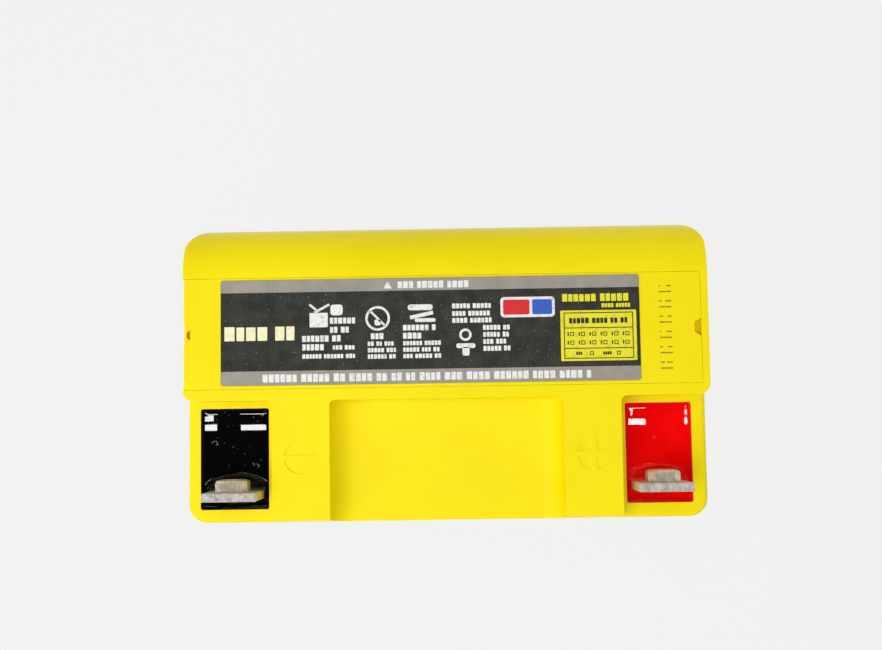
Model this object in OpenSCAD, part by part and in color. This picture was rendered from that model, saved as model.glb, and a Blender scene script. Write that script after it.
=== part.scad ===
// Sealed six-cell gel motorcycle battery, 12 V, with two flag terminals on its front corners.
// X runs along the length, from the negative to the positive end. The terminals face -Y.
// The origin is the middle of the underside.

/* [Case] */
// Length over the lid and the container's rim
case_l = 98; // [96:0.5:104]
// Width over the lid and the container's rim
case_w = 56; // [55:0.5:60]
// Overall height, to the top of the terminals
total_h = 110; // [106:0.5:125]
// Wall thickness of the container
wall = 2; // [1.6:0.1:2.2]
// How far the container's walls stand back from its rim
rim_step = 0.5; // [0.2:0.1:0.8]
// Height of the joint between the container and the lid
joint_z = 84; // [82:0.5:87]

/* [Lid] */
// How far the lid's top lies under the tops of the terminals
top_drop = 4.4; // [3:0.1:6]
// Depth of the terminal niches and of the middle recess
niche_depth = 5.4; // [4.5:0.1:6]
// Radius of the lid's roll towards the back face
roll_r = 10.4; // [8:0.1:11]
// Distance of the niches' inner walls from the middle
pillar_x = 32.4; // [31:0.1:33]
// Half the width of the middle recess
recess_x = 21.7; // [18:0.1:22]
// Place of the wall behind the niches and the recess, towards the front from the middle
step_y = 5.2; // [4.8:0.1:5.6]
// Radius of the two long fillets in the recess
recess_fillet = 4; // [2:0.1:4.4]
// Diameter of the sunk ring around each polarity mark
mark_d = 6.1; // [5:0.1:7]

/* [Valve cover] */
// Thickness of the cover plate
cover_t = 1.6; // [1.2:0.1:1.8]
// Seam around the cover plate
seam = 0.14; // [0.1:0.01:0.25]
// Width of the ledge that carries the cover plate
ledge = 1.7; // [1.2:0.1:2]

/* [Cells] */
// Thickness of the partition walls
partition = 1.4; // [1.2:0.1:1.6]
// Height of the plates
plate_h = 60; // [50:1:62]
// Width of the plates
plate_w = 48; // [44:0.5:49]
// Thickness of a positive plate
positive_t = 2; // [1.6:0.1:2]
// Thickness of a negative plate
negative_t = 1.5; // [1.2:0.1:1.5]
// Space that a glass-mat separator fills between two plates
mat_t = 1.3; // [1:0.1:1.3]

/* [Terminals] */
// Width of a terminal tab
tab_w = 9.9; // [9:0.1:11]
// Thickness of a terminal tab
tab_t = 1.6; // [1.4:0.1:2]
// Depth of the tab's front face, measured from the lid's front face
tab_inset = 4.85; // [4.8:0.05:6]
// Height of the bolt hole above the potting
bolt_rise = 5.6; // [5.2:0.1:6.5]
// Clearance hole in the tab for an M4 bolt
bolt_hole_d = 4.5; // [4.3:0.1:4.8]
// Thread bore of the M4 square nut
nut_bore_d = 3.3; // [3.2:0.05:3.5]
// Width across the flats of the square nut
nut_s = 6.6; // [6.4:0.1:7]
// Thickness of the square nut
nut_t = 2.2; // [1.9:0.1:3]

/* [Hidden] */
$fn = 64;
CELLS = 6;
CELL_NUMBERS = [1:CELLS];
WELD_NUMBERS = [1:CELLS - 1];
function numbered(name, numbers) = [for (i = numbers) str(name, i)];

// colours
YELLOW = [0.98, 0.87, 0.05];
LEAD = [0.45, 0.46, 0.48];
PEROXIDE = [0.32, 0.2, 0.15];
GLASS_MAT = [0.93, 0.93, 0.9];
GEL = [0.86, 0.9, 0.93];
TINNED = [0.78, 0.76, 0.7];
RUBBER = [0.08, 0.08, 0.08];

// heights
top_z = total_h - top_drop;
floor_z = top_z - niche_depth;
potting_z = floor_z - 2.2;
well_floor_z = potting_z - 3.6;
lid_skin = 2;

// outline of the container and the lid
front_r = 3.5;
back_r = 5;
body_l = case_l - 2 * rim_step;
body_w = case_w - 2 * rim_step;
rim_h = 4;
rim_slope = 1;
groove_h = 0.6;
groove_d = 0.35;
shoulder_r = 2.2;
base_t = 2.5;
base_chamfer = 1;
panel_depth = 0.4;
panel_margin = 7;
panel_low = 9;
panel_high = 74;

// cells
cavity_l = body_l - 2 * wall;
cavity_w = body_w - 2 * wall;
cell_l = (cavity_l - (CELLS - 1) * partition) / CELLS;
pitch = cell_l + partition;
function cell_x(i) = (i - (CELLS + 1) / 2) * pitch;
// positive lugs stand at the back in odd cells and at the front in even ones
function side(i) = i % 2 == 1 ? 1 : -1;

plate_z = 6;
plate_top = plate_z + plate_h;
lug_y = 15;
lug_w = 7;
lug_h = 4;
strap_z = plate_top + lug_h;
strap_t = 3.5;
strap_w = 9;
upright_t = 2;
upright_h = 10;
slip = 0.02;
wall_gap = 0.05;
weld_z = strap_z + 6.5;
weld_d = 5.9;
positive_offset = negative_t / 2 + mat_t + positive_t / 2;
negative_offset = 2 * positive_offset;
mat_offset = negative_t / 2 + mat_t / 2;
stack_l = 2 * negative_offset + negative_t;
gel_top = plate_top + 1;

// valve chamber and cover plate
cover_x0 = -case_l / 2 + 0.25;
cover_x1 = case_l / 2 - 1.4;
cover_y0 = -step_y + 2.15;
cover_y1 = case_w / 2 - roll_r + 0.1;
cover_under_z = top_z - cover_t;
cover_rest = 0.05;
chamber_x = case_l / 2 - 3.6;
chamber_y0 = cover_y0 + ledge;
chamber_y1 = cover_y1 - ledge;
chamber_mid = (chamber_y0 + chamber_y1) / 2;
chamber_z = top_z - 8.6;
notch_r = 1.9;
notch_out = 0.45;
pad_d = 5;
pad_h = 0.5;

// valve caps and the spigots under them
spigot_d = 6.4;
spigot_h = 4.6;
vent_d = 3.2;
collar_in_d = 9.8;
collar_out_d = 11.4;
collar_h = 2;
cap_d = 8.8;
cap_fit = 0.05;
cap_lift = 0.4;
cap_h = 5.2;
cap_ridge_d = 7.2;
cap_ridge_h = 0.4;
spigot_top = chamber_z + spigot_h;
cap_top = chamber_z + cap_lift + cap_h - cap_ridge_h;

// label on the cover plate
label_l = 78.03;
label_w = 19.7;
label_x = -2.815;
label_y = 7.45;
label_t = 0.12;
label_r = 0.5;

// terminal wells
well_side = 2.8;
well_front = 2.7;
well_back = 1.3;
well_r = 0.4;
well_x0 = pillar_x + 1.3;
well_x1 = case_l / 2 - well_side;
well_y0 = -case_w / 2 + well_front;
well_y1 = -step_y - well_back;
mark_x = 27.1;
mark_y = -15.8;
mark_depth = 0.5;
minus_bar = 0.8;
plus_bar = 1.1;

// terminals
tab_x = 39.75;
tab_y = -case_w / 2 + tab_inset;
foot_z = well_floor_z + 0.6;
foot_back = -9.5;
bolt_z = potting_z + bolt_rise;
nut_chamfer = 1.4;
post_x = -cell_x(1);
post_y = -lug_y;
post_d = 7;
post_hole_d = 7.4;
tip_d = 5;
tip_hole_d = 5.1;
tip_z = potting_z - 0.6;
ring_d = 1.6;
ring_gap = 0.04;
ring_seat_h = 1.8;

// rounded outline with its own radii at the front and at the back corners
module outline(l, w, rf, rb) {
    fx = l / 2 - rf;
    fy = w / 2 - rf;
    bx = l / 2 - rb;
    by = w / 2 - rb;
    for (s = [-1, 1]) {
        translate([s * fx, -fy]) circle(rf);
        translate([s * bx, by]) circle(rb);
    }
    translate([-fx, -w / 2]) square([2 * fx, w / 2]);
    translate([-bx, 0]) square([2 * bx, w / 2]);
    translate([-l / 2, -fy]) square([l, fy + by]);
}

module block(x0, x1, y0, y1, z0, z1) {
    translate([x0, y0, z0]) cube([x1 - x0, y1 - y0, z1 - z0]);
}

// the same thing at the negative end (end = -1) and at the positive end (end = 1)
module at_end(end) {
    if (end > 0) {
        children();
    } else {
        mirror([1, 0, 0]) children();
    }
}

// a flat outline drawn in Y and Z, drawn out along X over a length l about the middle
module along_x(l) {
    rotate([90, 0, 90]) translate([0, 0, -l / 2]) linear_extrude(l) children();
}

// a flat outline drawn in X and Z, drawn out along Y from y0 to y1
module along_y(y0, y1) {
    translate([0, y1, 0]) rotate([90, 0, 0]) linear_extrude(y1 - y0) children();
}

// cavities of the six cells, from z0 to z1 and from y0 to y1
module cell_cavities(y0, y1, z0, z1) {
    for (i = CELL_NUMBERS) {
        block(cell_x(i) - cell_l / 2, cell_x(i) + cell_l / 2, y0, y1, z0, z1);
    }
}

// ---- case

module container() {
    body_top = joint_z - rim_h;
    color(YELLOW) difference() {
        union() {
            translate([0, 0, base_chamfer]) linear_extrude(body_top - base_chamfer)
                outline(body_l, body_w, front_r - rim_step, back_r - rim_step);
            linear_extrude(base_chamfer)
                outline(body_l - 1.2, body_w - 1.2, front_r - 1.1, back_r - 1.1);
            translate([0, 0, body_top - rim_slope]) linear_extrude(rim_slope)
                outline(case_l - rim_step, case_w - rim_step, front_r, back_r);
            translate([0, 0, body_top]) linear_extrude(rim_h - groove_h)
                outline(case_l, case_w, front_r, back_r);
            translate([0, 0, joint_z - groove_h]) linear_extrude(groove_h)
                outline(case_l - 2 * groove_d, case_w - 2 * groove_d, front_r, back_r);
        }
        cell_cavities(-cavity_w / 2, cavity_w / 2, base_t, joint_z + 1);
        panel_recesses();
        for (i = WELD_NUMBERS) weld_place(i) cylinder(d = weld_d, h = 2 * partition, center = true);
    }
}

// shallow flat panels moulded into the long faces
module panel_recesses() {
    half = body_l / 2 - panel_margin;
    for (s = [-1, 1]) {
        face = s * body_w / 2;
        block(-half, half, min(face, face - s * panel_depth), max(face, face - s * panel_depth),
            panel_low, panel_high);
    }
}

module lid() {
    color(YELLOW) difference() {
        union() {
            difference() {
                lid_outer();
                niches();
                recess();
                cover_seat();
                block(-chamber_x, chamber_x, chamber_y0, chamber_y1, chamber_z, top_z + 1);
            }
            for (i = CELL_NUMBERS) valve_place(i) valve_seat();
        }
        wells();
        polarity_marks();
        lid_cavities();
        for (i = CELL_NUMBERS) valve_place(i) {
            translate([0, 0, -4 * lid_skin]) cylinder(d = vent_d, h = spigot_h + 5 * lid_skin);
        }
    }
}

// outside of the lid: a flat top that rolls down to the back face
module lid_outer() {
    roll_y = case_w / 2 - roll_r;
    intersection() {
        translate([0, 0, joint_z]) linear_extrude(top_z - joint_z)
            outline(case_l, case_w, front_r, back_r);
        along_x(case_l + 2) {
            translate([-case_w / 2, joint_z]) square([case_w / 2 + roll_y, top_z - joint_z]);
            translate([-case_w / 2, joint_z]) square([case_w, top_z - roll_r - joint_z]);
            translate([roll_y, top_z - roll_r]) circle(roll_r);
        }
    }
}

// terminal niches, and the rounding of the raised block's outer front corners
module niches() {
    centre_x = case_l / 2 - shoulder_r;
    centre_y = -step_y + shoulder_r;
    for (end = [-1, 1]) at_end(end) {
        block(pillar_x, case_l, -case_w, -step_y, floor_z, top_z + 1);
        difference() {
            block(centre_x, case_l, -step_y - 1, centre_y, floor_z, top_z + 1);
            translate([centre_x, centre_y, floor_z - 1])
                cylinder(r = shoulder_r, h = niche_depth + 3);
        }
    }
}

// middle recess, open at the front, whose floor sweeps up to its two side walls
module recess() {
    flat = recess_x - recess_fillet;
    along_y(-case_w, -step_y) {
        translate([-flat, floor_z]) square([2 * flat, niche_depth + 1]);
        translate([-recess_x, floor_z + recess_fillet]) square([2 * recess_x, niche_depth]);
        for (s = [-1, 1]) translate([s * flat, floor_z + recess_fillet]) circle(recess_fillet);
    }
}

module cover_seat() {
    block(-case_l, cover_x1 + seam, cover_y0 - seam, cover_y1 + seam,
        cover_under_z - cover_rest, top_z + 1);
}

module well_outline() {
    at_x = [well_x0 + well_r, well_x1 - well_r];
    at_y = [well_y0 + well_r, well_y1 - well_r];
    for (x = at_x, y = at_y) translate([x, y]) circle(well_r);
    translate([well_x0, at_y[0]]) square([well_x1 - well_x0, at_y[1] - at_y[0]]);
    translate([at_x[0], well_y0]) square([at_x[1] - at_x[0], well_y1 - well_y0]);
}

// terminal wells with the hole and the seal seat for the post in each floor
module wells() {
    for (end = [-1, 1]) at_end(end) {
        translate([0, 0, well_floor_z]) linear_extrude(floor_z + 1 - well_floor_z) well_outline();
        translate([post_x, post_y, well_floor_z - 3 * lid_skin])
            cylinder(d = post_hole_d, h = 4 * lid_skin);
        translate([post_x, post_y, well_floor_z - ring_seat_h])
            cylinder(d = post_d + 2 * ring_d + 4 * ring_gap, h = ring_seat_h + 1);
    }
}

// sunk discs with a minus and a plus left standing in them
module polarity_marks() {
    for (end = [-1, 1]) translate([end * mark_x, mark_y, top_z - mark_depth]) difference() {
        cylinder(d = mark_d, h = mark_depth + 1);
        bar = end < 0 ? minus_bar : plus_bar;
        block(-mark_d, mark_d, -bar / 2, bar / 2, -1, mark_depth + 2);
        if (end > 0) block(-bar / 2, bar / 2, -mark_d, mark_d, -1, mark_depth + 2);
    }
}

module lid_cavities() {
    low_top = well_floor_z - ring_seat_h - lid_skin;
    rear_top = chamber_z - lid_skin;
    cell_cavities(-cavity_w / 2, cavity_w / 2, joint_z - 1, low_top);
    cell_cavities(chamber_y0 - 1, cavity_w / 2 - 1, joint_z - 1, rear_top);
}

module valve_place(i) {
    translate([cell_x(i), chamber_mid, chamber_z]) children();
}

// vent spigot and the low collar around it
module valve_seat() {
    translate([0, 0, -lid_skin / 2]) cylinder(d = spigot_d, h = spigot_h + lid_skin / 2);
    translate([0, 0, -lid_skin / 2]) difference() {
        cylinder(d = collar_out_d, h = collar_h + lid_skin / 2);
        translate([0, 0, lid_skin / 2]) cylinder(d = collar_in_d, h = collar_h + 1);
    }
}

// ---- valve cover, its label and the valve caps

module valve_cover() {
    color(YELLOW) difference() {
        union() {
            block(cover_x0, cover_x1, cover_y0, cover_y1, cover_under_z, top_z);
            for (i = CELL_NUMBERS) {
                translate([cell_x(i), chamber_mid, cover_under_z - pad_h])
                    cylinder(d = pad_d, h = pad_h + cover_t / 2);
            }
        }
        for (x = [cover_x0 - notch_out, cover_x1 + notch_out]) {
            translate([x, chamber_mid, cover_under_z - 1]) rotate([0, 0, 90])
                linear_extrude(cover_t + 2) circle(notch_r, $fn = 6);
        }
    }
}

module top_label() {
    x = label_l / 2 - label_r;
    y = label_w / 2 - label_r;
    color(RUBBER) translate([label_x, label_y, top_z]) linear_extrude(label_t) {
        for (sx = [-1, 1], sy = [-1, 1]) translate([sx * x, sy * y]) circle(label_r);
        translate([-x, -label_w / 2]) square([2 * x, label_w]);
        translate([-label_l / 2, -y]) square([label_l, 2 * y]);
    }
}

// rubber cup that sits on a vent spigot
module valve_cap(i) {
    inner_d = spigot_d + 2 * cap_fit;
    color(RUBBER) translate([cell_x(i), chamber_mid, 0]) difference() {
        union() {
            translate([0, 0, chamber_z + cap_lift]) cylinder(d = cap_d, h = cap_h - cap_ridge_h);
            translate([0, 0, cap_top - 0.2]) cylinder(d = cap_ridge_d, h = cap_ridge_h + 0.2);
        }
        translate([0, 0, chamber_z]) cylinder(d = inner_d, h = spigot_h + cap_fit);
    }
}

// ---- cells

module plate(x, t, y, paste) {
    color(paste) block(x - t / 2, x + t / 2, -plate_w / 2, plate_w / 2, plate_z, plate_top);
    color(LEAD) block(x - t / 2, x + t / 2, y - lug_w / 2, y + lug_w / 2, plate_top - 1, strap_z + 1);
}

// strap from x0 to x1, with an upright against the partition on the side it leads to
module strap(x0, x1, y, lead) {
    edge = cell_l / 2 - wall_gap;
    far0 = lead < 0 ? -edge : x0;
    far1 = lead > 0 ? edge : x1;
    color(LEAD) block(far0, far1, y - strap_w / 2, y + strap_w / 2, strap_z, strap_z + strap_t);
    if (lead != 0) {
        a = lead > 0 ? edge - upright_t : -edge;
        color(LEAD) block(a, a + upright_t, y - strap_w / 2, y + strap_w / 2,
            strap_z, strap_z + upright_h);
    }
}

module positive_plates(i) {
    y = side(i) * lug_y;
    last = positive_offset + positive_t / 2;
    translate([cell_x(i), 0, 0]) {
        for (x = [-positive_offset, positive_offset]) plate(x, positive_t, y, PEROXIDE);
        strap(-last, last, y, i < CELLS ? 1 : 0);
    }
}

module negative_plates(i) {
    y = -side(i) * lug_y;
    last = stack_l / 2;
    translate([cell_x(i), 0, 0]) {
        for (x = [-negative_offset, 0, negative_offset]) plate(x, negative_t, y, LEAD);
        strap(-last, last, y, i > 1 ? -1 : 0);
    }
}

module separators(i) {
    t = mat_t - 2 * slip;
    half_w = cavity_w / 2 - 0.6;
    color(GLASS_MAT) translate([cell_x(i), 0, 0]) {
        for (k = [-1, 1], x = [k * mat_offset, k * (negative_offset - mat_offset)]) {
            block(x - t / 2, x + t / 2, -half_w, half_w, plate_z - 1, plate_top + 2);
        }
    }
}

// electrolyte between the stack of plates and the cell's walls
module gel(i) {
    half_w = cavity_w / 2 - 0.6 + slip;
    color(GEL) translate([cell_x(i), 0, 0]) difference() {
        block(-cell_l / 2, cell_l / 2, -cavity_w / 2, cavity_w / 2, base_t, gel_top);
        block(-stack_l / 2 - slip, stack_l / 2 + slip, -half_w, half_w, plate_z - 1 - slip, gel_top + 1);
    }
}

module weld_place(i) {
    x = cell_x(i) + pitch / 2;
    translate([x, side(i) * lug_y, weld_z]) rotate([0, 90, 0]) children();
}

module intercell_weld(i) {
    color(LEAD) weld_place(i) cylinder(d = weld_d, h = partition + 2 * wall_gap, center = true);
}

// ---- terminals

module post(end) {
    color(LEAD) at_end(end) translate([post_x, post_y, 0]) {
        translate([0, 0, strap_z + strap_t]) cylinder(d = post_d, h = foot_z - strap_z - strap_t);
        translate([0, 0, foot_z - 1]) cylinder(d = tip_d, h = tip_z - foot_z + 1);
    }
}

// rubber ring around the post in the well's floor
module post_seal(end) {
    ring_x = post_d / 2 + ring_d / 2 + ring_gap;
    color(RUBBER) at_end(end) translate([post_x, post_y, well_floor_z - ring_d / 2 - ring_gap])
        rotate_extrude() translate([ring_x, 0]) circle(d = ring_d);
}

// foot on the post and an upright tab with the bolt hole
module terminal(end) {
    x0 = tab_x - tab_w / 2;
    x1 = tab_x + tab_w / 2;
    color(TINNED) at_end(end) difference() {
        union() {
            block(x0, x1, tab_y, foot_back, foot_z, foot_z + tab_t);
            block(x0, x1, tab_y, tab_y + tab_t, foot_z, total_h);
        }
        translate([post_x, post_y, foot_z - 1]) cylinder(d = tip_hole_d, h = tab_t + 2);
        translate([tab_x, tab_y - 1, bolt_z]) rotate([-90, 0, 0])
            cylinder(d = bolt_hole_d, h = tab_t + 2);
    }
}

// square nut behind the tab
module nut(end) {
    h = nut_s / 2;
    c = h - nut_chamfer;
    color(TINNED) at_end(end) difference() {
        translate([tab_x, 0, bolt_z]) along_y(tab_y + tab_t, tab_y + tab_t + nut_t)
            polygon([[-h, -c], [-c, -h], [c, -h], [h, -c], [h, c], [c, h], [-c, h], [-h, c]]);
        translate([tab_x, tab_y, bolt_z]) rotate([-90, 0, 0])
            cylinder(d = nut_bore_d, h = tab_t + nut_t + 2);
    }
}

// resin that seals the well around the terminal's foot and the post's tip
module potting(end) {
    x0 = tab_x - tab_w / 2;
    x1 = tab_x + tab_w / 2;
    color(end < 0 ? "black" : "red") at_end(end) difference() {
        translate([0, 0, well_floor_z]) linear_extrude(potting_z - well_floor_z) well_outline();
        block(x0, x1, tab_y, foot_back, foot_z, foot_z + tab_t);
        block(x0, x1, tab_y, tab_y + tab_t, foot_z, total_h);
        translate([post_x, post_y, well_floor_z - 1])
            cylinder(d = post_hole_d, h = foot_z - well_floor_z + 1 + tab_t / 2);
        translate([post_x, post_y, foot_z]) cylinder(d = tip_hole_d, h = tip_z - foot_z);
    }
}

container();
lid();
valve_cover();
top_label();
for (i = CELL_NUMBERS) {
    valve_cap(i);
    positive_plates(i);
    negative_plates(i);
    separators(i);
    gel(i);
}
for (i = WELD_NUMBERS) {
    intercell_weld(i);
}
post(-1);  // negative_post
post(1);  // positive_post
post_seal(-1);  // negative_post_seal
post_seal(1);  // positive_post_seal
terminal(-1);  // negative_terminal
terminal(1);  // positive_terminal
nut(-1);  // negative_nut
nut(1);  // positive_nut
potting(-1);  // negative_potting
potting(1);  // positive_potting
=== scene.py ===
"""Looks of a sealed motorcycle battery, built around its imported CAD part.

The frame's X runs along the battery from the negative to the positive end, and the terminals
face -Y. Lengths in this script are millimetres; the meshes are built in metres.
"""

import math
import random

import bmesh
import bpy
from mathutils import Matrix, Vector, noise


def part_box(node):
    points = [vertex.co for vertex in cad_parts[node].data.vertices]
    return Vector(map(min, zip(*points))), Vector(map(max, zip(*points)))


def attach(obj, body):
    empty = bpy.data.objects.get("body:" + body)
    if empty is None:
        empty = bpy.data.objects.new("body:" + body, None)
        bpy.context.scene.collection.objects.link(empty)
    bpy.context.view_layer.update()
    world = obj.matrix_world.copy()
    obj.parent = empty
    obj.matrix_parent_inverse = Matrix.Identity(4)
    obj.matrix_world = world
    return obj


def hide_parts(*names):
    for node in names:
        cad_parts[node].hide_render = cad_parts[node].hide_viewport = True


MM = 0.001
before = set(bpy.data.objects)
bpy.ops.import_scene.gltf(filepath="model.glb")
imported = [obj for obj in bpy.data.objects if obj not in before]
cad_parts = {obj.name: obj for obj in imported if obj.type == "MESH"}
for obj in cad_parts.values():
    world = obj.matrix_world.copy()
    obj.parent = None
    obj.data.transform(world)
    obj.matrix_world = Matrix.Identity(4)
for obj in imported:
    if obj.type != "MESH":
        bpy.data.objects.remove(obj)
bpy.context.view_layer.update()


def span(node):
    """((x0, x1), (y0, y1), (z0, z1)) of a CAD node, in millimetres."""
    low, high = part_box(node)
    return tuple((low[k] / MM, high[k] / MM) for k in range(3))


# ---- places taken from the CAD part

(LID_X0, LID_X1), (LID_Y0, LID_Y1), (JOINT_Z, TOP_Z) = span("lid")
(WELL_X0, WELL_X1), (WELL_Y0, WELL_Y1), (WELL_FLOOR_Z, POTTING_Z) = span("positive_potting")
(COVER_X0, COVER_X1), (COVER_Y0, COVER_Y1), (COVER_PAD_Z, COVER_TOP_Z) = span("valve_cover")
(LABEL_X0, LABEL_X1), (LABEL_Y0, LABEL_Y1), (LABEL_Z0, LABEL_Z1) = span("top_label")
(TAB_X0, TAB_X1), (TAB_Y0, FOOT_Y1), (FOOT_Z0, TAB_Z1) = span("positive_terminal")
(NUT_X0, NUT_X1), (NUT_Y0, NUT_Y1), (NUT_Z0, NUT_Z1) = span("positive_nut")

# ---- sizes inside the boxes: lid and cover

FRONT_R = 3.5
BACK_R = 5.0
ROLL_R = 10.4
FLOOR_Z = TOP_Z - 5.4
PILLAR_X = 32.4
RECESS_X = 21.7
RECESS_FILLET = 4.0
STEP_Y = -5.2
EDGE_R = 1.0
LIP_R = 2.4
SHOULDER_R = 2.2
INNER_R = 1.2
LEDGE = 1.7
COVER_T = 1.6
SEAT_Z = TOP_Z - COVER_T - 0.05
CHAMBER_X = LID_X1 - 3.6
CHAMBER_Z = TOP_Z - 8.6
MID_Y = (COVER_Y0 + COVER_Y1) / 2
MARK_X = 27.1
MARK_Y = -15.8
MARK_D = 6.1
PRY_D = 3.8
PRY_OUT = 0.45
SPIGOT_H = 4.6
SPIGOT_D = 6.4
VENT_D = 3.2
COLLAR_D = 11.4
COLLAR_BORE_D = 9.8

# ---- posts, cells, tabs and container

POST_X = 39.33
POST_Y = -15.0
POST_BORE_D = 7.4
SEAL_BORE_D = 10.36
SEAL_DEPTH = 1.8
WALL = 2.0
PARTITION = 1.4
BODY_X = LID_X1 - 0.5
BODY_Y = LID_Y1 - 0.5
CELLS = 6
CELL_L = (2 * (BODY_X - WALL) - (CELLS - 1) * PARTITION) / CELLS
CELL_XS = [(i - (CELLS - 1) / 2) * (CELL_L + PARTITION) for i in range(CELLS)]
TAB_T = 1.6
BOLT_Z = (NUT_Z0 + NUT_Z1) / 2
BOLT_HOLE_D = 4.5
NUT_BORE_D = 3.3
TAB_X = (TAB_X0 + TAB_X1) / 2
RIM_H = 4.0
RIM_STEP = 0.5
GROOVE_H = 0.6
CONTAINER_FLOOR_T = 2.5
PANEL_Z0 = 9.0
PANEL_Z1 = 74.0
PANEL_DEPTH = 0.4

# ---- where the looks leave the CAD part, to follow the photo (-1 is the negative end)

SEAM = 0.03
SEAT_X1 = COVER_X1 + SEAM
FRONT_LEAN = 0.75
MARK_DEPTH = 0.22
COVER_GROWTH = 0.2
POCKET_D = 2.2
POCKET_IN = 1.15
POCKET_DEPTH = 1.2
TAB_SHIFT = {-1: -0.4, 1: 0.35}
NUT_SHIFT = 0.2
NUT_SHRINK = 0.3
WELL_GROWTH = {-1: 0.45, 1: 0.0}
OUTER_RISE = {-1: 0.17, 1: 0.02}
COAT_T = 0.05
COAT_CLIMB = 1.7

# ---- places beyond the battery, where a cutter may end

FAR = 60
AHEAD = 40


# ---- mesh helpers

ALONG_X = Matrix(((0, 0, 1, 0), (1, 0, 0, 0), (0, 1, 0, 0), (0, 0, 0, 1)))
ALONG_Y = Matrix(((1, 0, 0, 0), (0, 0, -1, 0), (0, 1, 0, 0), (0, 0, 0, 1)))


def arc(cx, cy, radius, start, end, steps):
    angles = [math.radians(start + (end - start) * k / steps) for k in range(steps + 1)]
    return [(cx + radius * math.cos(a), cy + radius * math.sin(a)) for a in angles]


def rounded(x0, x1, y0, y1, front, back, steps=12):
    """Outline of a rectangle with one radius at its two front corners and one at the back."""
    return (
        arc(x0 + front, y0 + front, front, 180, 270, steps)
        + arc(x1 - front, y0 + front, front, 270, 360, steps)
        + arc(x1 - back, y1 - back, back, 0, 90, steps)
        + arc(x0 + back, y1 - back, back, 90, 180, steps)
    )


def mirrored(points, end):
    return points if end > 0 else [(-x, y) for x, y in reversed(points)]


def new_object(bm, name="solid"):
    mesh = bpy.data.meshes.new(name)
    bm.to_mesh(mesh)
    bm.free()
    obj = bpy.data.objects.new(name, mesh)
    bpy.context.scene.collection.objects.link(obj)
    return obj


def add_prism(bm, points, z0, z1, place=None):
    low = [bm.verts.new((x * MM, y * MM, z0 * MM)) for x, y in points]
    high = [bm.verts.new((x * MM, y * MM, z1 * MM)) for x, y in points]
    faces = [bm.faces.new(low[::-1]), bm.faces.new(high)]
    for k in range(len(points)):
        j = (k + 1) % len(points)
        faces.append(bm.faces.new((low[k], low[j], high[j], high[k])))
    if place is not None:
        bmesh.ops.transform(bm, matrix=place, verts=low + high)
    bmesh.ops.recalc_face_normals(bm, faces=faces)


def prisms(outlines, z0, z1, place=None):
    """One object of several prisms that don't touch each other."""
    bm = bmesh.new()
    for points in outlines:
        add_prism(bm, points, z0, z1, place)
    return new_object(bm)


def prism(points, z0, z1, place=None):
    return prisms([points], z0, z1, place)


def block(x0, x1, y0, y1, z0, z1):
    return prism([(x0, y0), (x1, y0), (x1, y1), (x0, y1)], z0, z1)


def circle(x, y, diameter, steps=48):
    return arc(x, y, diameter / 2, 0, 360 - 360 / steps, steps - 1)


def hexagon(x, y, diameter):
    """Six corners, two of which point along Y."""
    return [(x - py, y + px) for px, py in circle(0, 0, diameter, steps=6)]


def baked(obj):
    """The object with its modifiers turned into mesh."""
    graph = bpy.context.evaluated_depsgraph_get()
    graph.update()
    mesh = bpy.data.meshes.new_from_object(obj.evaluated_get(graph))
    obj.modifiers.clear()
    obj.data = mesh
    return obj


def combine(obj, other, operation):
    modifier = obj.modifiers.new("combine", "BOOLEAN")
    modifier.operation = operation
    modifier.solver = "EXACT"
    modifier.object = other
    baked(obj)
    bpy.data.objects.remove(other)
    return obj


def cut(obj, other):
    return combine(obj, other, "DIFFERENCE")


def join(obj, other):
    return combine(obj, other, "UNION")


def cleaned(obj):
    """Merges doubled vertices and flat neighbouring faces that booleans leave."""
    bm = bmesh.new()
    bm.from_mesh(obj.data)
    bmesh.ops.remove_doubles(bm, verts=bm.verts, dist=2e-6)
    bmesh.ops.dissolve_limit(bm, angle_limit=math.radians(0.4), verts=bm.verts, edges=bm.edges)
    bm.to_mesh(obj.data)
    bm.free()
    return obj


def softened(obj, width_of, segments=4, widest=2.0):
    """Rounds the edges for which width_of(middle, edge) gives a width in millimetres."""
    cleaned(obj)
    bm = bmesh.new()
    bm.from_mesh(obj.data)
    layer = bm.edges.layers.float.new("bevel_weight_edge")
    for edge in bm.edges:
        if len(edge.link_faces) != 2:
            continue
        angle = math.degrees(edge.calc_face_angle(0))
        middle = (edge.verts[0].co + edge.verts[1].co) / 2 / MM
        if angle > 26:
            edge[layer] = min(1, width_of(middle, edge) / widest)
    bm.to_mesh(obj.data)
    bm.free()
    bevel = obj.modifiers.new("bevel", "BEVEL")
    bevel.limit_method = "WEIGHT"
    bevel.width = widest * MM
    bevel.segments = segments
    bevel.use_clamp_overlap = False
    bevel.miter_outer = "MITER_SHARP"
    bevel.harden_normals = False
    return baked(obj)


def dressed(obj, name, material, body, stands_for=(), sharp=38, weighted=True):
    """Names a finished piece, gives it its material and ties it to its body."""
    obj.name = name
    obj.data.name = name
    obj.data.materials.clear()
    obj.data.materials.append(material)
    for polygon in obj.data.polygons:
        polygon.use_smooth = True
        polygon.material_index = 0
    obj.data.set_sharp_from_angle(angle=math.radians(sharp))
    if weighted:
        normals = obj.modifiers.new("flat_faces_stay_flat", "WEIGHTED_NORMAL")
        normals.keep_sharp = True
        normals.weight = 90
    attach(obj, body)
    if stands_for:
        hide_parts(*stands_for)
    return obj


# ---- materials


def shader(name, metallic=0.0, specular=0.5):
    material = bpy.data.materials.new(name)
    material.use_nodes = True
    tree = material.node_tree
    surface = tree.nodes["Principled BSDF"]
    surface.inputs["Metallic"].default_value = metallic
    surface.inputs["Specular IOR Level"].default_value = specular
    place = tree.nodes.new("ShaderNodeTexCoord")
    return material, tree, surface, place.outputs["Object"]


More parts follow.
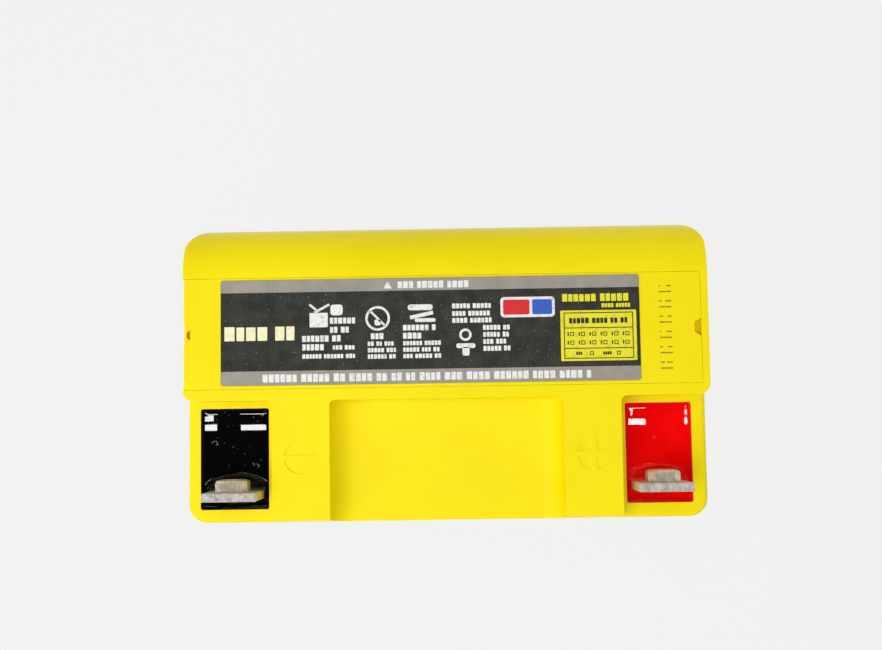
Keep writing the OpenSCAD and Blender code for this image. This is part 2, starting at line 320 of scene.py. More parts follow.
def stretched(tree, place, scale):
    mapping = tree.nodes.new("ShaderNodeMapping")
    mapping.inputs["Scale"].default_value = scale
    tree.links.new(place, mapping.inputs["Vector"])
    return mapping.outputs["Vector"]


def grain(tree, place, per_mm, detail=2.0, rough=0.5):
    """Noise with per_mm features a millimetre."""
    node = tree.nodes.new("ShaderNodeTexNoise")
    node.inputs["Scale"].default_value = per_mm / MM
    node.inputs["Detail"].default_value = detail
    node.inputs["Roughness"].default_value = rough
    tree.links.new(place, node.inputs["Vector"])
    return node.outputs["Fac"]


def ranged(tree, value, low, high, from_low=0.35, from_high=0.65):
    node = tree.nodes.new("ShaderNodeMapRange")
    node.inputs["From Min"].default_value = from_low
    node.inputs["From Max"].default_value = from_high
    node.inputs["To Min"].default_value = low
    node.inputs["To Max"].default_value = high
    tree.links.new(value, node.inputs["Value"])
    return node.outputs["Result"]


def blended(tree, factor, first, second):
    node = tree.nodes.new("ShaderNodeMix")
    node.data_type = "RGBA"
    for key, value in (("A", first), ("B", second)):
        socket = [s for s in node.inputs if s.name == key and s.type == "RGBA"][0]
        if isinstance(value, tuple):
            socket.default_value = (*value, 1)
        else:
            tree.links.new(value, socket)
    tree.links.new(factor, node.inputs["Factor"])
    return [s for s in node.outputs if s.type == "RGBA"][0]


def times(tree, first, second):
    node = tree.nodes.new("ShaderNodeMath")
    node.operation = "MULTIPLY"
    tree.links.new(first, node.inputs[0])
    if isinstance(second, float):
        node.inputs[1].default_value = second
    else:
        tree.links.new(second, node.inputs[1])
    return node.outputs["Value"]


def summed(tree, first, second):
    node = tree.nodes.new("ShaderNodeMath")
    node.operation = "ADD"
    tree.links.new(first, node.inputs[0])
    tree.links.new(second, node.inputs[1])
    return node.outputs["Value"]


def bumped(tree, surface, height, depth_mm):
    node = tree.nodes.new("ShaderNodeBump")
    node.inputs["Distance"].default_value = depth_mm * MM
    tree.links.new(height, node.inputs["Height"])
    tree.links.new(node.outputs["Normal"], surface.inputs["Normal"])


def plastic(name):
    """Moulded ABS with a satin skin: faint mottling, fine orange peel, hairline scuffs."""
    material, tree, surface, place = shader(name, specular=0.12)
    mottling = grain(tree, place, 0.06, detail=3.0)
    colour = blended(tree, ranged(tree, mottling, 0.0, 1.0), (0.94, 0.765, 0.002), (0.98, 0.81, 0.004))
    specks = grain(tree, place, 2.2, detail=1.0)
    speck_mask = ranged(tree, specks, 0.0, 0.3, 0.73, 0.79)
    colour = blended(tree, speck_mask, colour, (0.55, 0.4, 0.01))
    tree.links.new(colour, surface.inputs["Base Color"])
    along_x = stretched(tree, place, (0.25, 3.0, 3.0))
    scuffs = grain(tree, along_x, 0.9, detail=4.0, rough=0.7)
    haze = grain(tree, place, 0.12, detail=2.0)
    shine = summed(
        tree, ranged(tree, haze, 0.24, 0.3), ranged(tree, scuffs, 0.0, 0.15, 0.62, 0.8)
    )
    tree.links.new(shine, surface.inputs["Roughness"])
    peel = grain(tree, place, 1.4, detail=2.0)
    sink = grain(tree, place, 0.09, detail=1.0)
    bumped(tree, surface, summed(tree, times(tree, peel, 0.12), sink), 0.12)
    return material


def dots(tree, place, per_mm, reach):
    """A mask of scattered dots; reach is their radius as a share of the spacing."""
    cells = tree.nodes.new("ShaderNodeTexVoronoi")
    cells.inputs["Scale"].default_value = per_mm / MM
    tree.links.new(place, cells.inputs["Vector"])
    split = tree.nodes.new("ShaderNodeSeparateColor")
    tree.links.new(cells.outputs["Color"], split.inputs["Color"])
    chosen = ranged(tree, split.outputs["Red"], 0.0, 1.0, 0.5, 1.0)
    return times(tree, ranged(tree, cells.outputs["Distance"], 1.0, 0.0, reach * 0.4, reach), chosen)


def resin(name, dark, bright, roughness, fleck, fleck_share):
    """Poured epoxy: glassy skin with slow waves and dust flecks caught in it."""
    material, tree, surface, place = shader(name, specular=0.5)
    cloud = grain(tree, place, 0.25, detail=3.0)
    colour = blended(tree, ranged(tree, cloud, 0.0, 1.0), dark, bright)
    flecks = times(tree, dots(tree, place, 1.3, 0.13), fleck_share)
    colour = blended(tree, flecks, colour, fleck)
    tree.links.new(colour, surface.inputs["Base Color"])
    tree.links.new(
        summed(tree, ranged(tree, cloud, roughness, roughness + 0.004), times(tree, flecks, 0.5)),
        surface.inputs["Roughness"],
    )
    waves = grain(tree, place, 0.16, detail=1.0)
    bumped(tree, surface, waves, 0.001)
    return material


def metal(name, light, dark, roughness, depth, metallic=1.0, painted_glints=0.0):
    """Tinned or galvanised metal with rolling marks, tarnish spots and painted glints of light."""
    material, tree, surface, place = shader(name, metallic=metallic)
    along_x = stretched(tree, place, (0.25, 3.0, 3.0))
    lines = grain(tree, along_x, 1.5, detail=4.0, rough=0.7)
    spots = grain(tree, place, 0.9, detail=4.0, rough=0.65)
    colour = blended(tree, ranged(tree, spots, 0.0, 1.0, 0.4, 0.7), light, dark)
    # painted glints: scattered near-white dots in the base colour stand in for sparkles of reflected
    # light
    colour = blended(tree, times(tree, dots(tree, place, 1.8, 0.4), painted_glints), colour, (1.0, 0.98, 0.94))
    tree.links.new(colour, surface.inputs["Base Color"])
    tree.links.new(
        summed(tree, ranged(tree, spots, roughness, roughness + 0.18), times(tree, lines, 0.12)),
        surface.inputs["Roughness"],
    )
    bumped(tree, surface, summed(tree, lines, times(tree, spots, 0.6)), depth)
    return material


def matte(name, light, dark, roughness, per_mm, depth, specular=0.35):
    """Rubber, paste, mat or gel: two tones in a grain of the right size."""
    material, tree, surface, place = shader(name, specular=specular)
    coarse = grain(tree, place, per_mm, detail=4.0, rough=0.6)
    fine = grain(tree, place, per_mm * 7, detail=2.0)
    colour = blended(tree, ranged(tree, coarse, 0.0, 1.0, 0.3, 0.7), light, dark)
    tree.links.new(colour, surface.inputs["Base Color"])
    tree.links.new(
        ranged(tree, fine, roughness - 0.08, roughness + 0.08), surface.inputs["Roughness"]
    )
    bumped(tree, surface, summed(tree, coarse, times(tree, fine, 0.4)), depth)
    return material


def film(name, light, dark, weave, specks):
    """Printed polyester film: fine screen lines across it and dust on top."""
    material, tree, surface, place = shader(name, specular=0.25)
    screen = tree.nodes.new("ShaderNodeTexWave")
    screen.wave_type = "BANDS"
    screen.bands_direction = "X"
    screen.inputs["Scale"].default_value = 0.9 / MM
    screen.inputs["Distortion"].default_value = 1.2
    screen.inputs["Detail"].default_value = 2.0
    screen.inputs["Detail Scale"].default_value = 2.0
    tree.links.new(place, screen.inputs["Vector"])
    worn = grain(tree, place, 0.35, detail=4.0)
    lines = times(tree, screen.outputs["Fac"], weave)
    colour = blended(tree, summed(tree, lines, ranged(tree, worn, 0.0, 0.4)), dark, light)
    dust = ranged(tree, grain(tree, place, 2.6, detail=2.0), 0.0, specks, 0.68, 0.74)
    colour = blended(tree, dust, colour, (0.55, 0.55, 0.53))
    tree.links.new(colour, surface.inputs["Base Color"])
    tree.links.new(ranged(tree, worn, 0.3, 0.46), surface.inputs["Roughness"])
    bumped(tree, surface, summed(tree, times(tree, screen.outputs["Fac"], 0.3), worn), 0.02)
    return material


def ink(name, light, dark):
    """Screen-printed ink, worn thin in places."""
    material, tree, surface, place = shader(name, specular=0.4)
    wear = grain(tree, place, 1.2, detail=4.0, rough=0.7)
    tree.links.new(
        blended(tree, ranged(tree, wear, 0.0, 1.0, 0.5, 0.72), light, dark),
        surface.inputs["Base Color"],
    )
    tree.links.new(ranged(tree, wear, 0.35, 0.55), surface.inputs["Roughness"])
    bumped(tree, surface, wear, 0.01)
    return material


YELLOW = plastic("yellow_abs")
BLACK_RESIN = resin(
    "black_epoxy", (0.0012, 0.0011, 0.001), (0.002, 0.0018, 0.0016), 0.006, (0.4, 0.38, 0.34), 0.9
)
RED_RESIN = resin("red_epoxy", (0.92, 0.0006, 0.001), (0.98, 0.002, 0.003), 0.006, (0.9, 0.1, 0.09), 0.5)
# the tabs and nuts carry painted glints of light in their colour
TINNED = metal(
    "tinned_brass", (0.84, 0.79, 0.72), (0.42, 0.36, 0.29), 0.32, depth=0.12, metallic=0.5, painted_glints=1.0
)
PLATED = metal(
    "plated_steel", (0.88, 0.8, 0.66), (0.58, 0.49, 0.36), 0.28, depth=0.04, metallic=0.6, painted_glints=0.5
)
LEAD = metal("cast_lead", (0.42, 0.43, 0.46), (0.2, 0.2, 0.22), 0.42, depth=0.06)
RUBBER = matte("valve_rubber", (0.028, 0.028, 0.03), (0.014, 0.014, 0.015), 0.55, 0.6, 0.04)
PASTE = matte("lead_dioxide_paste", (0.16, 0.075, 0.05), (0.08, 0.035, 0.025), 0.75, 0.9, 0.12)
SPONGE = matte("sponge_lead", (0.24, 0.25, 0.27), (0.12, 0.125, 0.14), 0.6, 0.9, 0.12)
MAT = matte("glass_mat", (0.86, 0.86, 0.82), (0.66, 0.66, 0.62), 0.85, 1.6, 0.1)
GEL = matte("silica_gel", (0.74, 0.8, 0.84), (0.6, 0.68, 0.74), 0.3, 0.3, 0.08, specular=0.6)
LABEL_BLACK = film("label_black", (0.06, 0.061, 0.05), (0.016, 0.017, 0.013), 0.55, 0.35)
LABEL_GREY = film("label_grey_band", (0.43, 0.395, 0.335), (0.3, 0.275, 0.235), 0.3, 0.3)
WHITE_INK = ink("white_ink", (0.86, 0.86, 0.84), (0.5, 0.5, 0.48))
CREAM_INK = ink("cream_ink", (0.93, 0.9, 0.6), (0.7, 0.66, 0.3))
YELLOW_INK = ink("yellow_ink", (0.86, 0.8, 0.02), (0.6, 0.52, 0.02))
DARK_INK = ink("dark_ink", (0.03, 0.03, 0.02), (0.12, 0.11, 0.02))
RED_INK = ink("red_ink", (0.75, 0.02, 0.03), (0.45, 0.03, 0.03))
BLUE_INK = ink("blue_ink", (0.03, 0.12, 0.6), (0.05, 0.14, 0.4))
JET_INK = ink("jet_ink", (0.3, 0.24, 0.02), (0.55, 0.46, 0.01))


# ---- lid


def lid_outline():
    return rounded(LID_X0, LID_X1, LID_Y0, LID_Y1, FRONT_R, BACK_R, steps=12)


def lid_lower():
    """The lid up to the niches' floor, with its rounded rim."""
    body = prism(lid_outline(), JOINT_Z, FLOOR_Z)
    softened(body, lambda m, edge: EDGE_R if m.z > FLOOR_Z - 0.01 else 0.3)
    # the back and the strip before the recess come with the raised block
    cut(body, block(-FAR, FAR, 0, FAR, JOINT_Z + 8, FLOOR_Z + 1))
    return cut(body, block(-27, 27, LID_Y0 - 5, 1, FLOOR_Z - 4, FLOOR_Z + 1))


def roll_profile():
    low = JOINT_Z - 5
    points = [(LID_Y0 - 5, low), (LID_Y1, low), (LID_Y1, TOP_Z - ROLL_R)]
    points += arc(LID_Y1 - ROLL_R, TOP_Z - ROLL_R, ROLL_R, 0, 90, 28)[1:]
    return points + [(LID_Y0 - 5, TOP_Z)]


def niche_outline(end):
    """A niche from above: a small fillet at the pillar, a round shoulder at the lid's side."""
    corner = arc(PILLAR_X + INNER_R, STEP_Y - INNER_R, INNER_R, 90, 180, 8)
    shoulder_x = LID_X1 - SHOULDER_R
    shoulder_y = STEP_Y + SHOULDER_R
    shoulder = arc(shoulder_x, shoulder_y, SHOULDER_R, 0, -90, 8)
    points = [(PILLAR_X, -AHEAD), (FAR, -AHEAD), (FAR, shoulder_y)] + shoulder + corner
    return mirrored(points, end)


def recess_cutter():
    """Runs out at the front; its floor sweeps up to the side walls."""
    flat = RECESS_X - RECESS_FILLET
    high = TOP_Z + 5
    centre_z = FLOOR_Z + RECESS_FILLET
    profile = [(-RECESS_X, high)]
    profile += arc(-flat, centre_z, RECESS_FILLET, 180, 270, 12)
    profile += arc(flat, centre_z, RECESS_FILLET, 270, 360, 12)
    profile += [(RECESS_X, high)]
    cutter = prism(profile, -STEP_Y, AHEAD, ALONG_Y)

    def back_rim(m, edge):
        return EDGE_R if m.y > STEP_Y - 0.01 and m.z < high - 0.1 else 0

    return softened(cutter, back_rim, segments=5)


def lid_upper():
    """The raised block with its two pillars, seen from above as one outline."""
    body = prism(lid_outline(), JOINT_Z + 6, TOP_Z)
    combine(body, prism(roll_profile(), -FAR, FAR, ALONG_X), "INTERSECT")
    lean = [(LID_Y0 - 3, FLOOR_Z - 0.6), (LID_Y0, FLOOR_Z - 0.6)]
    lean += [(LID_Y0 + FRONT_LEAN, TOP_Z + 1), (LID_Y0 - 3, TOP_Z + 1)]
    cut(body, prism(lean, -FAR, FAR, ALONG_X))
    cut(body, prisms([niche_outline(-1), niche_outline(1)], JOINT_Z, TOP_Z + 5))
    cut(body, recess_cutter())

    def width(m, edge):
        if m.z < JOINT_Z + 6.1 or not edge.is_convex:
            return 0
        on_front = m.y < LID_Y0 + FRONT_LEAN
        if on_front and m.z > TOP_Z - 0.01:
            return LIP_R
        return EDGE_R

    return softened(body, width, segments=5, widest=LIP_R)


def mark_cutter(end):
    bar = 1.1 if end > 0 else 0.8
    x = end * MARK_X
    low = TOP_Z - MARK_DEPTH
    disc = prism(circle(x, MARK_Y, MARK_D), low, TOP_Z + 1)
    cut(disc, block(x - 5, x + 5, MARK_Y - bar / 2, MARK_Y + bar / 2, low - 1, TOP_Z + 2))
    if end > 0:
        cut(disc, block(x - bar / 2, x + bar / 2, MARK_Y - 5, MARK_Y + 5, low - 1, TOP_Z + 2))
    return disc


def well_outline(end):
    x1 = WELL_X1 + WELL_GROWTH[end]
    y0 = WELL_Y0 - WELL_GROWTH[end] / 2
    return mirrored(rounded(WELL_X0, x1, y0, WELL_Y1, 0.4, 0.4, steps=6), end)


def cell_boxes(y0, y1):
    half = CELL_L / 2
    return [[(x - half, y0), (x + half, y0), (x + half, y1), (x - half, y1)] for x in CELL_XS]


def cut_cover_seat(lid):
    """The cover's seat, a pocket under its left notch and the valve chamber below."""
    cut(lid, block(-FAR, SEAT_X1, COVER_Y0 - SEAM, COVER_Y1 + SEAM, SEAT_Z, TOP_Z + 1))
    pocket = hexagon(COVER_X0 + POCKET_IN, MID_Y, POCKET_D)
    cut(lid, prism(pocket, SEAT_Z - POCKET_DEPTH, SEAT_Z + 1))
    chamber = rounded(
        -CHAMBER_X, CHAMBER_X, COVER_Y0 + LEDGE, COVER_Y1 - LEDGE, 0.8, 0.8, steps=4
    )
    cut(lid, prism(chamber, CHAMBER_Z, TOP_Z + 1))


def add_spigots(lid):
    """On the chamber's floor, over each cell: a low collar round a spigot with its vent."""
    collars = prisms([circle(x, MID_Y, COLLAR_D) for x in CELL_XS], CHAMBER_Z - 1, CHAMBER_Z + 2)
    bores = [circle(x, MID_Y, COLLAR_BORE_D) for x in CELL_XS]
    cut(collars, prisms(bores, CHAMBER_Z, CHAMBER_Z + 3))
    join(lid, collars)
    spigots = [circle(x, MID_Y, SPIGOT_D) for x in CELL_XS]
    join(lid, prisms(spigots, CHAMBER_Z - 1, CHAMBER_Z + SPIGOT_H))
    vents = [circle(x, MID_Y, VENT_D, steps=32) for x in CELL_XS]
    cut(lid, prisms(vents, CHAMBER_Z - 8, CHAMBER_Z + SPIGOT_H + 2))


def cut_wells(lid):
    """The two terminal wells, and the bores through their floors for post and seal."""
    cut(lid, prisms([well_outline(-1), well_outline(1)], WELL_FLOOR_Z, FLOOR_Z + 2))
    posts = [circle(end * POST_X, POST_Y, POST_BORE_D) for end in (-1, 1)]
    cut(lid, prisms(posts, JOINT_Z, WELL_FLOOR_Z + 1))
    seals = [circle(end * POST_X, POST_Y, SEAL_BORE_D) for end in (-1, 1)]
    cut(lid, prisms(seals, WELL_FLOOR_Z - SEAL_DEPTH, WELL_FLOOR_Z + 1))


def cut_cells(lid):
    """The tops of the cells, higher at the back than under the wells."""
    inner = BODY_Y - WALL
    cut(lid, prisms(cell_boxes(-inner, inner), JOINT_Z - 1, WELL_FLOOR_Z - 3.8))
    rear = cell_boxes(COVER_Y0 + LEDGE - 1, inner - 1)
    cut(lid, prisms(rear, JOINT_Z - 1, CHAMBER_Z - 2))


def build_lid():
    lid = cleaned(join(lid_lower(), lid_upper()))
    cut_cover_seat(lid)
    add_spigots(lid)
    cut_wells(lid)
    cut_cells(lid)
    for end in (-1, 1):
        cut(lid, mark_cutter(end))

    def width(m, edge):
        x = abs(m.x)
        if m.z < WELL_FLOOR_Z - 1:
            return 0
        if math.hypot(x - MARK_X, m.y - MARK_Y) < MARK_D / 2 + 0.1 and m.z > TOP_Z - 1:
            return 0.1
        in_well = WELL_X0 - 0.05 < x < WELL_X1 + 0.5 and WELL_Y0 - 0.3 < m.y < WELL_Y1 + 0.05
        if in_well:
            return 0.3 if abs(m.z - FLOOR_Z) < 0.05 else 0
        in_seat = COVER_Y0 - SEAM - 0.05 < m.y < COVER_Y1 + SEAM + 0.05
        if in_seat and m.z > CHAMBER_Z - 0.5 and -LID_X1 + 1.3 < m.x < SEAT_X1 + 0.05:
            return 0.06
        return 0

    softened(lid, width, segments=3, widest=0.5)
    return dressed(lid, "lid_shell", YELLOW, "case", ["lid"])


# ---- container


def build_container():
    (x0, x1), (y0, y1), (z0, z1) = span("container")
    rim_z = z1 - RIM_H
    groove_z = z1 - GROOVE_H
    step = RIM_STEP
    body = prism(rounded(x0 + step, x1 - step, y0 + step, y1 - step, 3, 4.5), z0, rim_z)
    slope = prism(rounded(x0 + 0.25, x1 - 0.25, y0 + 0.25, y1 - 0.25, 3.5, 5), rim_z - 1, rim_z)
    join(body, slope)
    join(body, prism(rounded(x0, x1, y0, y1, FRONT_R, BACK_R), rim_z, groove_z))
    groove = prism(rounded(x0 + 0.35, x1 - 0.35, y0 + 0.35, y1 - 0.35, 3.3, 4.8), groove_z, z1)
    join(body, groove)
    half = x1 - step - 7
    panel = rounded(-half, half, PANEL_Z0, PANEL_Z1, 2.5, 2.5, steps=8)
    for face in (y0 + step, y1 - step):
        inner = face + PANEL_DEPTH if face < 0 else face - PANEL_DEPTH
        outer = face - 2 if face < 0 else face + 2
        low, high = sorted((-inner, -outer))
        cut(body, prism(panel, low, high, ALONG_Y))

    inner_y = BODY_Y - WALL
    cut(body, prisms(cell_boxes(-inner_y, inner_y), z0 + CONTAINER_FLOOR_T, z1 + 1))
    pitch = CELL_L + PARTITION
    for k in range(1, CELLS):
        (wx0, wx1), (wy0, wy1), (wz0, wz1) = span("intercell_weld_%d" % k)
        hole = circle((wy0 + wy1) / 2, (wz0 + wz1) / 2, wz1 - wz0, steps=32)
        middle = (wx0 + wx1) / 2
        cut(body, prism(hole, middle - pitch / 4, middle + pitch / 4, ALONG_X))

    def width(m, edge):
        inside = abs(m.x) < BODY_X - WALL + 0.1 and abs(m.y) < inner_y + 0.1
        if inside and z0 + 1 < m.z:
            return 0
        if m.z < z0 + 0.01:
            return 1.0 if edge.is_convex else 0
        if PANEL_Z0 - 0.1 < m.z < PANEL_Z1 + 0.1 and abs(m.x) < half + 0.1:
            return 0.25
        return 0.15 if m.z < z1 - 0.01 else 0

    softened(body, width, segments=4, widest=1.0)
    return dressed(body, "container_shell", YELLOW, "case", ["container"])


# ---- valve cover and its printed film


def build_cover():
    """The plate drops into its seat; its outer end is rounded like the lid's side."""
    under = COVER_TOP_Z - COVER_T
    left = COVER_X0 - COVER_GROWTH
    round_end = arc(left + EDGE_R, COVER_TOP_Z - EDGE_R, EDGE_R, 180, 90, 8)
    side = [(COVER_X1, COVER_TOP_Z), (COVER_X1, under), (left, under)] + round_end
    plate = prism(side, -COVER_Y1, -COVER_Y0, ALONG_Y)
    notches = [hexagon(x, MID_Y, PRY_D) for x in (COVER_X0 - PRY_OUT, COVER_X1 + PRY_OUT)]
    cut(plate, prisms(notches, under - 1, COVER_TOP_Z + 1))
    pads = prisms([circle(x, MID_Y, 5.0) for x in CELL_XS], COVER_PAD_Z, under + 0.8)
    join(plate, pads)

    def width(m, edge):
        return 0.07 if m.z > COVER_TOP_Z - 0.01 and edge.is_convex else 0

    softened(plate, width, segments=3, widest=0.5)
    return dressed(plate, "cover_plate", YELLOW, "cover", ["valve_cover"])


def build_label():
    outline = rounded(LABEL_X0, LABEL_X1, LABEL_Y0, LABEL_Y1, 0.5, 0.5, steps=6)
    sheet = prism(outline, LABEL_Z0, LABEL_Z1)
    return dressed(
        sheet, "label_film", LABEL_BLACK, "cover", ["top_label"], weighted=False
    )


def on_label(points):
    """Points measured from the label's front left corner, turned into the frame."""
    return [(LABEL_X0 + x, LABEL_Y0 + y) for x, y in points]


def printed(outlines, name, material, layer=1):
    """Ink shapes that lie on the film, one layer above another."""
    bm = bmesh.new()
    top = LABEL_Z1 + 0.012 * layer
    for points in outlines:
        add_prism(bm, on_label(points), LABEL_Z1 - 0.01, top)
    return dressed(new_object(bm), name, material, "cover", weighted=False)


def bar(x0, x1, y0, y1, r=0.12):
    return rounded(x0, x1, y0, y1, r, r, steps=2)


def words(rng, x0, x1, middle, height, letter=0.62):
    """A line of blank blocks with the rhythm of print and no lettering."""
    blocks = []
    x = x0
    while x < x1 - letter:
        count = rng.randint(2, 6)
        for k in range(count):
            width = height * letter * rng.uniform(0.8, 1.1)
            if x + width > x1:
                break
            low = middle - height / 2
            high = middle + height / 2 * rng.uniform(0.86, 1.0)
            blocks.append(bar(x, x + width, low, high, min(0.1, height * 0.12)))
            x += width + height * 0.13
        x += height * 0.42
    return blocks


def ring(cx, cy, outer, inner):
    """A ring as two half outlines."""
    halves = []
    for start in (0, 180):
        out = arc(cx, cy, outer, start, start + 180, 20)
        back = arc(cx, cy, inner, start + 180, start, 20)
        halves.append(out + back)
    return halves


def slanted(cx, cy, length, thick, degrees):
    a = math.radians(degrees)
    c, s = math.cos(a), math.sin(a)
    corners = [(-1, -1), (1, -1), (1, 1), (-1, 1)]
    half_l, half_t = length / 2, thick / 2
    return [
        (cx + i * half_l * c - j * half_t * s, cy + i * half_l * s + j * half_t * c)
        for i, j in corners
    ]


def frame_box(cx, cy, size):
    h = size / 2
    t = 0.14
    return [
        bar(cx - h, cx + h, cy + h - t, cy + h, 0.02),
        bar(cx - h, cx + h, cy - h, cy - h + t, 0.02),
        bar(cx - h, cx - h + t, cy - h, cy + h, 0.02),
        bar(cx + h - t, cx + h, cy - h, cy + h, 0.02),
    ]


def print_bands(rng):
    length = LABEL_X1 - LABEL_X0
    depth = LABEL_Y1 - LABEL_Y0
    top_band = rounded(0.03, length - 0.03, depth - 2.37, depth - 0.03, 0.01, 0.48, steps=6)
    low_band = rounded(0.03, length - 0.03, 0.03, 2.66, 0.48, 0.01, steps=6)
    printed([top_band, low_band], "print_bands", LABEL_GREY)

    white = [[(30.4, 17.75), (32.0, 17.75), (31.2, 19.15)]]
    white += words(rng, 33.1, 47.2, 18.45, 1.35)
    white += words(rng, 7.8, 69.6, 1.32, 1.5)
    printed(white, "print_white_on_bands", WHITE_INK, layer=2)


def print_white_marks(rng):
    """Blank columns of marks and lines in the label's dark middle."""
    marks = [bar(16.6, 20.0, 10.7, 13.4), slanted(18.9, 14.2, 3.2, 0.45, 28)]
    marks += [bar(20.5, 22.8, 12.9, 14.9, 0.5), slanted(17.3, 14.4, 1.8, 0.4, -40)]
    marks += words(rng, 20.4, 25.5, 11.9, 1.15)
    marks += words(rng, 20.4, 24.6, 10.2, 1.15)
    marks += words(rng, 15.2, 23.1, 8.6, 1.2)
    marks += words(rng, 15.2, 20.4, 7.0, 1.2) + words(rng, 20.9, 25.8, 6.9, 0.85)
    marks += words(rng, 15.2, 25.8, 5.3, 0.85)
    marks += ring(29.3, 12.2, 2.3, 1.85)
    marks += [slanted(29.3, 12.2, 4.0, 0.4, -45), bar(28.7, 29.9, 10.9, 12.0, 0.3)]
    marks += words(rng, 28.0, 31.0, 8.9, 1.15)
    for level in (7.5, 6.3, 5.1):
        marks += words(rng, 27.4, 32.8, level, 0.85)
    marks += [bar(34.9, 39.6, 13.6, 14.7, 0.5), slanted(37.5, 12.7, 4.4, 0.7, 12)]
    marks += [bar(36.2, 40.1, 11.4, 12.1, 0.3)]
    marks += words(rng, 34.0, 40.9, 10.4, 1.1)
    marks += words(rng, 34.0, 37.6, 8.9, 1.2)
    for level in (7.5, 6.3, 5.1):
        marks += words(rng, 34.0, 41.4, level, 0.85)
    for level in (14.3, 12.9, 11.6):
        marks += words(rng, 43.2, 50.9, level, 0.95)
    for level in (10.2, 8.9, 7.6, 6.3):
        marks += words(rng, 48.9, 54.0, level, 0.95)
    marks += ring(45.6, 8.9, 1.15, 0.7)
    marks += [bar(43.9, 47.4, 6.4, 7.3, 0.3), bar(45.0, 46.3, 5.0, 6.6, 0.3)]
    printed(marks, "print_white", WHITE_INK)


def print_colour_field():
    printed([bar(52.2, 62.3, 12.0, 15.8, 0.6)], "print_field_frame", WHITE_INK)
    printed([bar(52.7, 57.6, 12.5, 15.3, 0.3)], "print_field_red", RED_INK, layer=2)
    printed([bar(58.1, 61.8, 12.5, 15.3, 0.3)], "print_field_blue", BLUE_INK, layer=2)


def print_yellow_panel(rng):
    yellow = words(rng, 63.7, 76.7, 15.5, 1.45)
    yellow += words(rng, 71.0, 76.4, 14.0, 0.8)
    yellow += [bar(63.3, 77.4, 3.7, 13.1, 0.15)]
    printed(yellow, "print_yellow", YELLOW_INK)

    dark = []
    for y in (12.55, 9.75, 5.95, 4.1):
        dark.append(bar(63.9, 76.8, y, y + 0.17, 0.05))
    for x in (63.9, 76.63):
        dark.append(bar(x, x + 0.17, 4.1, 12.7, 0.05))
    dark += words(rng, 64.9, 75.8, 11.2, 1.05)
    for row in (8.7, 7.1):
        for k in range(6):
            x = 65.4 + k * 2.05
            dark += frame_box(x, row, 0.75)
            dark.append(bar(x - 0.85, x - 0.6, row - 0.35, row + 0.35, 0.05))
    for x in (69.0, 74.0):
        dark += frame_box(x, 5.1, 0.7)
        dark += words(rng, x - 2.9, x - 0.9, 5.1, 0.6)
    printed(dark, "print_dark", DARK_INK, layer=2)


def build_print():
    rng = random.Random(3)
    print_bands(rng)
    print_white_marks(rng)
    printed(words(rng, 0.7, 13.9, 9.7, 2.7, 0.66), "print_cream", CREAM_INK)
    print_colour_field()
    print_yellow_panel(rng)


def build_batch_marks():
    """Faint generic strokes where a date stamp sits beside the label."""
    bm = bmesh.new()
    x = 41.0
    top = COVER_TOP_Z + 0.015
    for k in range(6):
        y = 14.6 - k * 2.85
        for part in (
            bar(x - 1.15, x + 1.15, y - 0.75, y - 0.5, 0.08),
            bar(x - 1.15, x - 0.85 + 0.25 * (k % 3), y + 0.35, y + 0.6, 0.08),
            bar(x + 0.3 - 0.25 * (k % 2), x + 1.15, y + 0.35, y + 0.6, 0.08),
        ):
            add_prism(bm, part, COVER_TOP_Z - 0.01, top)
    return dressed(
        new_object(bm), "stamp_strokes", JET_INK, "cover", weighted=False
    )


# ---- terminals, nuts and resin


def settled(obj, end):
    """Mirrors a positive part for the negative end and shifts it as the two are seen to stand."""
    bm = bmesh.new()
    bm.from_mesh(obj.data)
    if end < 0:
        bmesh.ops.scale(bm, vec=(-1, 1, 1), verts=bm.verts)
        bmesh.ops.reverse_faces(bm, faces=bm.faces)
    bmesh.ops.translate(bm, vec=(0, TAB_SHIFT[end] * MM, 0), verts=bm.verts)
    bm.to_mesh(obj.data)
    bm.free()


def build_terminal(end, name):
    tab = block(TAB_X0, TAB_X1, TAB_Y0, TAB_Y0 + TAB_T, FOOT_Z0, TAB_Z1)
    join(tab, block(TAB_X0, TAB_X1, TAB_Y0, FOOT_Y1, FOOT_Z0, FOOT_Z0 + TAB_T))
    hole = prism(circle(TAB_X, BOLT_Z, BOLT_HOLE_D), -TAB_Y0 - TAB_T - 1, -TAB_Y0 + 1, ALONG_Y)
    cut(tab, hole)
    cut(tab, prism(circle(POST_X, POST_Y, 5.1), FOOT_Z0 - 1, FOOT_Z0 + TAB_T + 1))
    softened(tab, lambda m, edge: 0.16, segments=2, widest=0.5)
    settled(tab, end)
    return dressed(tab, name + "_tab", TINNED, "case", [name + "_terminal"])


def build_nut(end, name):
    h = (NUT_X1 - NUT_X0) / 2 - NUT_SHRINK
    c = h - 1.2
    x = TAB_X + NUT_SHIFT
    z = BOLT_Z
    corners = [(-h, -c), (-c, -h), (c, -h), (h, -c), (h, c), (c, h), (-c, h), (-h, c)]
    outline = [(x + px, z + pz) for px, pz in corners]
    nut = prism(outline, -NUT_Y1, -NUT_Y0, ALONG_Y)
    cut(nut, prism(circle(x, z, NUT_BORE_D), -NUT_Y1 - 1, -NUT_Y0 + 1, ALONG_Y))

    def width(m, edge):
        outside = math.hypot(m.x - x, m.z - z) > 2.5
        return 0.7 if outside and m.y > NUT_Y1 - 0.01 else 0.15

    softened(nut, width, segments=3, widest=1.0)
    settled(nut, end)
    return dressed(nut, name + "_square_nut", PLATED, "case", [name + "_nut"])


